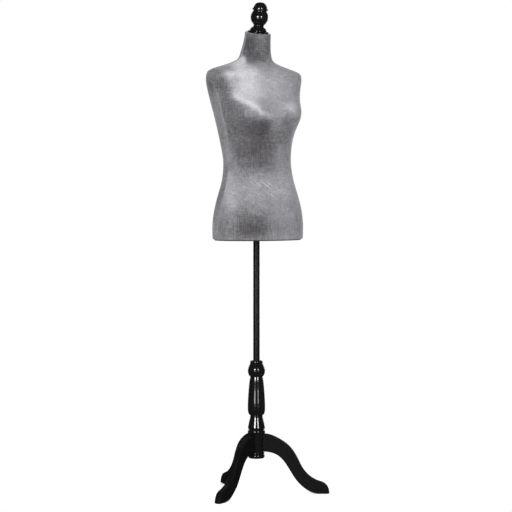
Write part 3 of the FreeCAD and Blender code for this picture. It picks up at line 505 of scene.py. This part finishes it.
def satin_paint():
    """Sawn and sanded wood under satin black, a little dusty near the floor."""
    made = Surface("satin_black")
    grain = made.noise(1.0, 4.0, 0.6, made.stretched((60, 60, 60)), distortion=0.4)
    pores = made.noise(1.0, 3.0, 0.6, made.stretched((700, 700, 110), (0, 30, 0)))
    scuff = made.ranged(made.noise(190.0, 4.0, 0.7), 0.62, 0.75)
    height = made.node("ShaderNodeSeparateXYZ", {"Vector": made.place}).outputs["Z"]
    low = made.ranged(height, 0.003, 0.045, 1.0, 0.0)
    worn = made.math("MULTIPLY", scuff, made.math("ADD", made.math("MULTIPLY", low, 0.6), 0.08))
    tone = made.math("ADD", made.sum((grain, 0.5), (pores, 0.5)), worn)
    colour = made.colours(made.math("ADD", tone, 0.4), (0.0, (0.003, 0.003, 0.0032)),
                          (0.5, (0.0045, 0.0045, 0.0048)), (1.0, (0.026, 0.025, 0.023)))
    normal = made.bump(pores, 0.10 * MM, 0.5, made.bump(grain, 0.5 * MM, 0.25))
    rough = made.ranged(made.sum((grain, 0.7), (pores, 0.5)), -0.3, 0.3, 0.36, 0.48)
    return made.finish(Base_Color=colour, Roughness=rough, Normal=normal,
                       Specular_IOR_Level=0.12)


def tube_paint():
    """Sprayed black enamel on steel, lightly scored where the tube slides."""
    made = Surface("tube_enamel")
    drawn = made.noise(1.0, 2.0, 0.5, made.stretched((600, 600, 9)))
    peel = made.noise(420.0, 2.0, 0.5)
    slide = made.ranged(made.noise(1.0, 2.0, 0.5, made.stretched((900, 900, 6))), 0.66, 0.78)
    colour = made.colours(made.sum((drawn, 0.8), (slide, 0.5)),
                          (0.0, (0.005, 0.005, 0.0055)), (1.0, (0.015, 0.015, 0.016)))
    rough = made.ranged(made.sum((peel, 0.3), (slide, 0.5)), -0.4, 0.5, 0.22, 0.32)
    return made.finish(Base_Color=colour, Roughness=rough, Normal=made.bump(peel, 0.02 * MM, 0.3),
                       Specular_IOR_Level=0.25, Coat_Weight=0.12, Coat_Roughness=0.12)


def machined(name, dark, light, rough, lines):
    """Bare turned metal with fine tool marks."""
    made = Surface(name)
    marks = made.noise(1.0, 3.0, 0.6, made.stretched(lines))
    stain = made.noise(110.0, 3.0, 0.6)
    tone = made.math("ADD", made.sum((marks, 0.7), (stain, 0.7)), 0.5)
    return made.finish(Base_Color=made.colours(tone, (0.2, dark), (0.8, light)), Metallic=1.0,
                       Roughness=made.ranged(tone, 0.2, 0.8, rough + 0.1, rough - 0.06),
                       Normal=made.bump(marks, 0.04 * MM, 0.6))


def moulded(name, dark, light, scale, rough, depth):
    """Plastic, rubber or felt: a fine even texture with slight mottling."""
    made = Surface(name)
    texture = made.noise(scale, 3.0, 0.6)
    cloud = made.noise(scale / 14.0, 2.0, 0.5)
    tone = made.math("ADD", made.sum((texture, 0.8), (cloud, 0.7)), 0.5)
    return made.finish(Base_Color=made.colours(tone, (0.2, dark), (0.8, light)),
                       Roughness=made.ranged(tone, 0.2, 0.8, rough - 0.08, rough + 0.08),
                       Normal=made.bump(texture, depth, 0.7))


def timber(name, dark, light, grain_scale, band_scale):
    """Wood with grain, and the plies or year rings as bands."""
    made = Surface(name)
    grain = made.noise(1.0, 5.0, 0.65, made.stretched(grain_scale), distortion=0.5)
    bands = made.noise(1.0, 2.0, 0.5, made.stretched(band_scale))
    tone = made.math("ADD", made.sum((grain, 0.9), (bands, 0.8)), 0.5)
    return made.finish(Base_Color=made.colours(tone, (0.2, dark), (0.8, light)),
                       Roughness=made.ranged(grain, 0.3, 0.7, 0.68, 0.54),
                       Normal=made.bump(grain, 0.25 * MM, 0.6))


def bead_foam():
    """Pale foam with the outlines of its beads."""
    made = Surface("bead_foam")
    cells = made.node("ShaderNodeTexVoronoi", {"Vector": made.place, "Scale": 240.0},
                      feature="DISTANCE_TO_EDGE").outputs["Distance"]
    edge = made.ranged(cells, 0.0, 0.12)
    cloud = made.noise(30.0, 2.0)
    tone = made.math("MULTIPLY", edge, made.ranged(cloud, 0.2, 0.8, 0.85, 1.0))
    colour = made.colours(tone, (0.0, (0.50, 0.49, 0.46)), (0.7, (0.80, 0.79, 0.75)))
    return made.finish(Base_Color=colour, Roughness=made.ranged(edge, 0.0, 1.0, 0.9, 0.7),
                       Normal=made.bump(edge, 0.5 * MM, 0.8))


def board_paint():
    """Hardboard under black paint: a screen pattern shows through."""
    made = Surface("black_board")
    ticks = made.noise(1.0, 2.0, 0.6, made.stretched((900, 900, 900)))
    fibres = made.noise(260.0, 4.0, 0.7, distortion=1.2)
    tone = made.math("ADD", made.sum((fibres, 1.0), (ticks, 0.5)), 0.5)
    colour = made.colours(tone, (0.2, (0.010, 0.010, 0.010)), (0.9, (0.035, 0.034, 0.033)))
    return made.finish(Base_Color=colour, Roughness=made.ranged(fibres, 0.3, 0.7, 0.62, 0.48),
                       Normal=made.bump(made.sum((ticks, 1.0), (fibres, 0.6)), 0.15 * MM, 0.6))


STEEL_DARK, STEEL_LIGHT = (0.36, 0.37, 0.39), (0.66, 0.67, 0.69)
BRASS_DARK, BRASS_LIGHT = (0.42, 0.30, 0.12), (0.78, 0.60, 0.30)
VELVET = velvet()
FINISHES = {
    "velvet": VELVET,
    "lacquered_wood": lacquer(),
    "painted_wood": satin_paint(),
    "painted_tube": tube_paint(),
    "black_board": board_paint(),
    "foam": bead_foam(),
    "bare_wood": timber("beech", (0.40, 0.26, 0.14), (0.64, 0.47, 0.29),
                        (420, 420, 28), (120, 120, 9)),
    "plywood": timber("birch_ply", (0.42, 0.30, 0.18), (0.70, 0.56, 0.38),
                      (30, 420, 420), (4, 4, 620)),
    "zinc_steel": machined("zinc_steel", STEEL_DARK, STEEL_LIGHT, 0.36, (60, 60, 1500)),
    "brass": machined("brass", BRASS_DARK, BRASS_LIGHT, 0.30, (50, 50, 1700)),
    "black_plastic": moulded("black_plastic", (0.018, 0.018, 0.019), (0.042, 0.042, 0.043),
                             1500.0, 0.46, 0.05 * MM),
    "foot_pad": moulded("foot_rubber", (0.014, 0.014, 0.014), (0.045, 0.044, 0.043),
                        900.0, 0.82, 0.12 * MM),
    "felt": moulded("black_felt", (0.012, 0.012, 0.013), (0.050, 0.050, 0.052),
                    1300.0, 0.92, 0.30 * MM),
}


def paint_nodes():
    """Each CAD node gets the finish of the record's slot that it was packed with."""
    for node in frame["nodes"].values():
        for held in node.material_slots:
            name = held.material.name.split(".")[0]
            held.material = FINISHES[name]


# ---------------------------------------------------------------- velvet: panels

def fold_rows(edge, inward, turned, profile):
    """Rows that fold an edge over: each goes inward, and along `turned`, by the profile."""
    return [edge + inward * into + turned * along for into, along in profile]


# Millimetres into the form and past the edge, from the hidden end of the hem's fold to its
# edge, and from the rim's edge to the hidden end of its fold.
HEM_FOLD = [(into * MM, down * MM) for into, down in
            ((14.5, 4.9), (10.0, 5.0), (6.5, 5.0), (4.4, 4.9), (3.0, 4.55), (1.9, 3.95),
             (1.1, 3.2), (0.5, 2.3), (0.15, 1.2))]
RIM_FOLD = [(into * MM, up * MM) for into, up in
            ((0.25, 0.45), (0.7, 0.85), (1.4, 1.1), (2.4, 1.2), (4.0, 1.2), (8.0, 1.2),
             (13.0, 1.2))]
FRONT_COLUMNS, BACK_COLUMNS = 116, 58


def inwards(away, tilt):
    """Unit vectors into the form along a section plane, against its normals."""
    upright = np.array([0.0, -math.sin(tilt), math.cos(tilt)])
    flat = away - np.outer(away @ upright, upright)
    return -flat / np.linalg.norm(flat, axis=1, keepdims=True)


def build_velvet():
    """The three velvet panels. Returns the sewn line's ring and its normals."""
    planes, neck_row, along = section_planes()
    radii, shown = cast_sections(planes)
    radii = mended(radii)
    angles = np.arange(ANGLES) * STEP
    rings = np.array([[centre + direction(angle, tilt) * radius
                       for angle, radius in zip(angles, row)]
                      for (centre, tilt), row in zip(planes, radii)])
    around = np.roll(rings, -1, axis=1) - np.roll(rings, 1, axis=1)
    normals = np.cross(around, np.gradient(rings, axis=0))
    normals /= np.linalg.norm(normals, axis=2, keepdims=True)

    left = seam_angles(shown, 0, 2, 0.0)
    right = seam_angles(shown, 1, 0, math.pi)
    back = np.full(len(planes), math.pi / 2)
    panels = (
        ("velvet_front", COVERS[0], right, left + 2 * math.pi, FRONT_COLUMNS, FRONT_LIE_AND_LIGHT_MARKS),
        ("velvet_back_right", COVERS[1], back, right, BACK_COLUMNS, RIGHT_LIE_AND_LIGHT_MARKS),
        ("velvet_back_left", COVERS[2], left, back, BACK_COLUMNS, LEFT_MARKS),
    )
    rim = np.zeros(len(planes))
    rim[neck_row:] = rim_relief(along)
    for name, cover, start, end, middle, marks in panels:
        grid, pile_lie_and_painted_light, outward = [], [], []
        for row in range(len(planes)):
            places, to_seam = column_angles(rings, row, start[row], end[row], middle)
            points = ring_sample(rings, row, places)
            away = ring_sample(normals, row, places)
            relief = seam_relief(to_seam) + rim[row]
            relief = relief + np.array([crush(point) for point in points])
            grid.append(points + away * relief[:, None])
            outward.append(away)
            # The attribute holds the pile's lie together with the painted light and shade of the
            # marks.
            across = points[:, 0] if marks is FRONT_LIE_AND_LIGHT_MARKS else points[:, 1] - POLE_Y
            pile_lie_and_painted_light.append([lie_and_painted_light_at(point, place, marks) for point, place in zip(points, across)])
        hem = fold_rows(grid[0], inwards(outward[0], 0.0), np.array([0, 0, -1.0]), HEM_FOLD)
        top = fold_rows(grid[-1], inwards(outward[-1], NECK_TILT), NECK_AXIS, RIM_FOLD)
        pile_lie_and_painted_light = [pile_lie_and_painted_light[0]] * len(hem) + pile_lie_and_painted_light + [pile_lie_and_painted_light[-1]] * len(top)
        panel = quad_object(name, np.array([*hem, *grid, *top]))
        stored = panel.data.attributes.new("pile_lie_and_painted_light", "FLOAT", "POINT")
        stored.data.foreach_set("value", np.array(pile_lie_and_painted_light, np.float32).ravel())
        panel.data.materials.append(VELVET)
        thick = panel.modifiers.new("cloth", "SOLIDIFY")
        thick.thickness = VELVET_THICKNESS
        thick.offset = -1.0
        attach(panel, "torso")
        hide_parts(cover)
    sewn = neck_row + int(np.argmin(np.abs(along + SEWN_LINE)))
    return rings[sewn], normals[sewn]


STITCHES = 76
STITCH_SPAN = 0.62
STITCH_RADIUS, STITCH_END = 0.42 * MM, 0.35
STITCH_SINK, STITCH_HUMP = 0.55 * MM, 0.45 * MM
STITCH_RINGS, STITCH_SIDES = 7, 8


def build_stitches(ring, normals):
    """Thread of the sewn line under the neck's rim: short stitches, each humped in its middle."""
    corners, faces = [], []
    length = np.concatenate([[0], np.cumsum(np.linalg.norm(np.roll(ring, -1, 0) - ring, axis=1))])
    pitch = length[-1] / STITCHES
    sides = range(STITCH_SIDES)
    for stitch in range(STITCHES):
        base = len(corners)
        for part in np.linspace(0, 1, STITCH_RINGS):
            place = (stitch + STITCH_SPAN * part) * pitch
            at = np.interp(place, length, np.arange(ANGLES + 1))
            low, share = int(at) % ANGLES, at - int(at)
            after = (low + 1) % ANGLES
            out = normals[low]
            ahead = ring[after] - ring[low]
            up = np.cross(ahead / np.linalg.norm(ahead), out)
            hump = math.sin(math.pi * part)
            thick = STITCH_RADIUS * (STITCH_END + (1 - STITCH_END) * math.sqrt(hump))
            centre = ring[low] * (1 - share) + ring[after] * share
            centre = centre + out * (STITCH_HUMP * hump - STITCH_SINK)
            for side in sides:
                turn = 2 * math.pi * side / STITCH_SIDES
                corners.append(centre + (out * math.cos(turn) + up * math.sin(turn)) * thick)
        for k in range(STITCH_RINGS - 1):
            first = base + k * STITCH_SIDES
            for side in sides:
                a, b = first + side, first + (side + 1) % STITCH_SIDES
                faces.append((b, a, a + STITCH_SIDES, b + STITCH_SIDES))
        last = len(corners) - STITCH_SIDES
        faces.append([base + side for side in sides])
        faces.append([last + side for side in reversed(sides)])
    made = mesh_object("rim_stitches", [tuple(point) for point in corners], faces)
    made.data.materials.append(thread())
    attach(made, "torso")


# ---------------------------------------------------------------- studio

VIEW_AZIMUTH = -28.5
CAMERA_DISTANCE = 6.2
CAMERA_HEIGHT = 1.06
AIM_HEIGHT = 0.803
AIM_LEFT = 1.5 * MM
LENS, SENSOR = 129.7, 36.0


def round_pole(azimuth, distance, height):
    """Point at an azimuth about the pole; 0 is in front, positive towards the form's left."""
    turn = math.radians(azimuth)
    return Vector((math.sin(turn) * distance, POLE_Y - math.cos(turn) * distance, height))


def build_camera():
    data = bpy.data.cameras.new("camera")
    data.lens = LENS
    data.sensor_width = SENSOR
    camera = bpy.data.objects.new("camera", data)
    bpy.context.scene.collection.objects.link(camera)
    turn = math.radians(VIEW_AZIMUTH)
    aim = Vector((-math.cos(turn) * AIM_LEFT, POLE_Y - math.sin(turn) * AIM_LEFT, AIM_HEIGHT))
    camera.location = round_pole(VIEW_AZIMUTH, CAMERA_DISTANCE, CAMERA_HEIGHT)
    camera.rotation_euler = (aim - camera.location).to_track_quat("-Z", "Y").to_euler()
    bpy.context.scene.camera = camera


# Upright area lights: name, azimuth from the camera's in degrees, distance from the pole,
# height of the lower and upper edge, width, radiance, whether its reflection shows, and the
# height that it is aimed at if that isn't its own.
LIGHTS = (
    ("left_floor", -22, 5.0, 0.05, 0.55, 1.35, 6.5, True, None),
    ("left_main", -22, 5.0, 1.25, 2.15, 1.35, 24.0, True, None),
    ("right_floor", 24, 5.0, 0.05, 0.55, 0.75, 6.5, True, None),
    ("right_main", 24, 5.0, 1.25, 2.15, 0.75, 24.0, True, None),
    ("left_fill", -22, 3.0, 2.2, 3.2, 1.05, 18.0, False, None),
    ("right_fill", 24, 3.0, 2.2, 3.2, 0.42, 18.0, False, None),
    ("key", 62, 3.2, 1.6, 3.4, 1.6, 3.0, False, 1.2),
    ("back_left", 150, 3.2, 0.3, 3.6, 0.9, 2.5, True, None),
    ("back_fill_left", 150, 3.2, 0.3, 3.6, 0.9, 5.5, False, None),
    ("back_right", -150, 3.2, 0.3, 3.6, 0.5, 2.5, True, None),
    ("back_fill_right", -150, 3.2, 0.3, 3.6, 0.5, 5.5, False, None),
)


def build_lights():
    for name, azimuth, distance, low, high, width, radiance, glossy, aim_height in LIGHTS:
        data = bpy.data.lights.new(name, "AREA")
        data.shape = "RECTANGLE"
        data.size, data.size_y = width, high - low
        data.energy = radiance * math.pi * width * (high - low)
        light = bpy.data.objects.new(name, data)
        bpy.context.scene.collection.objects.link(light)
        middle = (low + high) / 2
        light.location = round_pole(VIEW_AZIMUTH + azimuth, distance, middle)
        target = Vector((0, POLE_Y, aim_height or middle))
        light.rotation_euler = (target - light.location).to_track_quat("-Z", "Y").to_euler()
        light.visible_camera = False
        light.visible_glossy = glossy


FLOOR_RINGS = (3.2, 1.6, 0.8, 0.4, 0.001)
FLOOR_SIDES = 96
FLOOR_FADE = 0.36, 0.75
BOUNCE_FADE = 0.9, 3.0
BOUNCE_DEPTH = 2 * MM


def build_floor(name, height, fade_start, fade_end):
    """Pale disc about the pole that fades out towards its edge."""
    turns = [2 * math.pi * k / FLOOR_SIDES for k in range(FLOOR_SIDES + 1)]
    floor = quad_object(name, np.array([
        [[radius * math.cos(turn), POLE_Y + radius * math.sin(turn), height] for turn in turns]
        for radius in FLOOR_RINGS]))
    made = Surface("pale_" + name)
    speckle = made.noise(900.0, 2.0)
    cloud = made.noise(3.0, 2.0)
    tone = made.math("ADD", made.sum((speckle, 0.4), (cloud, 0.5)), 0.5)
    made.finish(
        Base_Color=made.colours(tone, (0.2, (0.80, 0.80, 0.80)), (0.8, (0.86, 0.86, 0.86))),
        Roughness=made.ranged(speckle, 0.3, 0.7, 0.8, 0.95), Specular_IOR_Level=0.1,
        Emission_Color=(1.0, 1.0, 1.0, 1.0), Emission_Strength=0.35)
    out = made.node("ShaderNodeVectorMath", {0: made.place}, operation="LENGTH").outputs["Value"]
    fade = made.ranged(out, fade_start, fade_end)
    clear = made.node("ShaderNodeBsdfTransparent", {}).outputs[0]
    mixed = made.node("ShaderNodeMixShader", {0: fade, 1: made.shader.outputs[0], 2: clear})
    made.feed(made.output.inputs["Surface"], mixed.outputs[0])
    floor.data.materials.append(made.material)
    floor.visible_glossy = False
    return floor


# Strength of the world as light, in reflections, and as the camera sees it.
WORLD_FILL, WORLD_GLOSS, WORLD_SEEN = 0.42, 0.03, 1.0


def build_world():
    """White behind the object, dim in its reflections, soft grey as fill."""
    world = bpy.data.worlds.new("studio")
    world.use_nodes = True
    tree = world.node_tree
    tree.nodes.clear()
    path = tree.nodes.new("ShaderNodeLightPath")
    seen = tree.nodes.new("ShaderNodeMix")
    gloss = tree.nodes.new("ShaderNodeMix")
    for node, factor in ((seen, "Is Camera Ray"), (gloss, "Is Glossy Ray")):
        node.data_type = "FLOAT"
        tree.links.new(path.outputs[factor], node.inputs["Factor"])
    gloss.inputs["A"].default_value = WORLD_FILL
    gloss.inputs["B"].default_value = WORLD_GLOSS
    tree.links.new(gloss.outputs["Result"], seen.inputs["A"])
    seen.inputs["B"].default_value = WORLD_SEEN
    background = tree.nodes.new("ShaderNodeBackground")
    tree.links.new(seen.outputs["Result"], background.inputs["Strength"])
    output = tree.nodes.new("ShaderNodeOutputWorld")
    tree.links.new(background.outputs[0], output.inputs["Surface"])
    background.inputs["Color"].default_value = (1.0, 1.0, 1.0, 1.0)
    bpy.context.scene.world = world


# ---------------------------------------------------------------- making

bpy.context.scene.view_settings.view_transform = "Standard"
paint_nodes()
build_stitches(*build_velvet())
build_floor("floor", 0.0, *FLOOR_FADE)
# The camera sees only the small disc. The wide one under it lights the form from below.
build_floor("bounce", -BOUNCE_DEPTH, *BOUNCE_FADE).visible_camera = False
build_world()
build_lights()
build_camera()
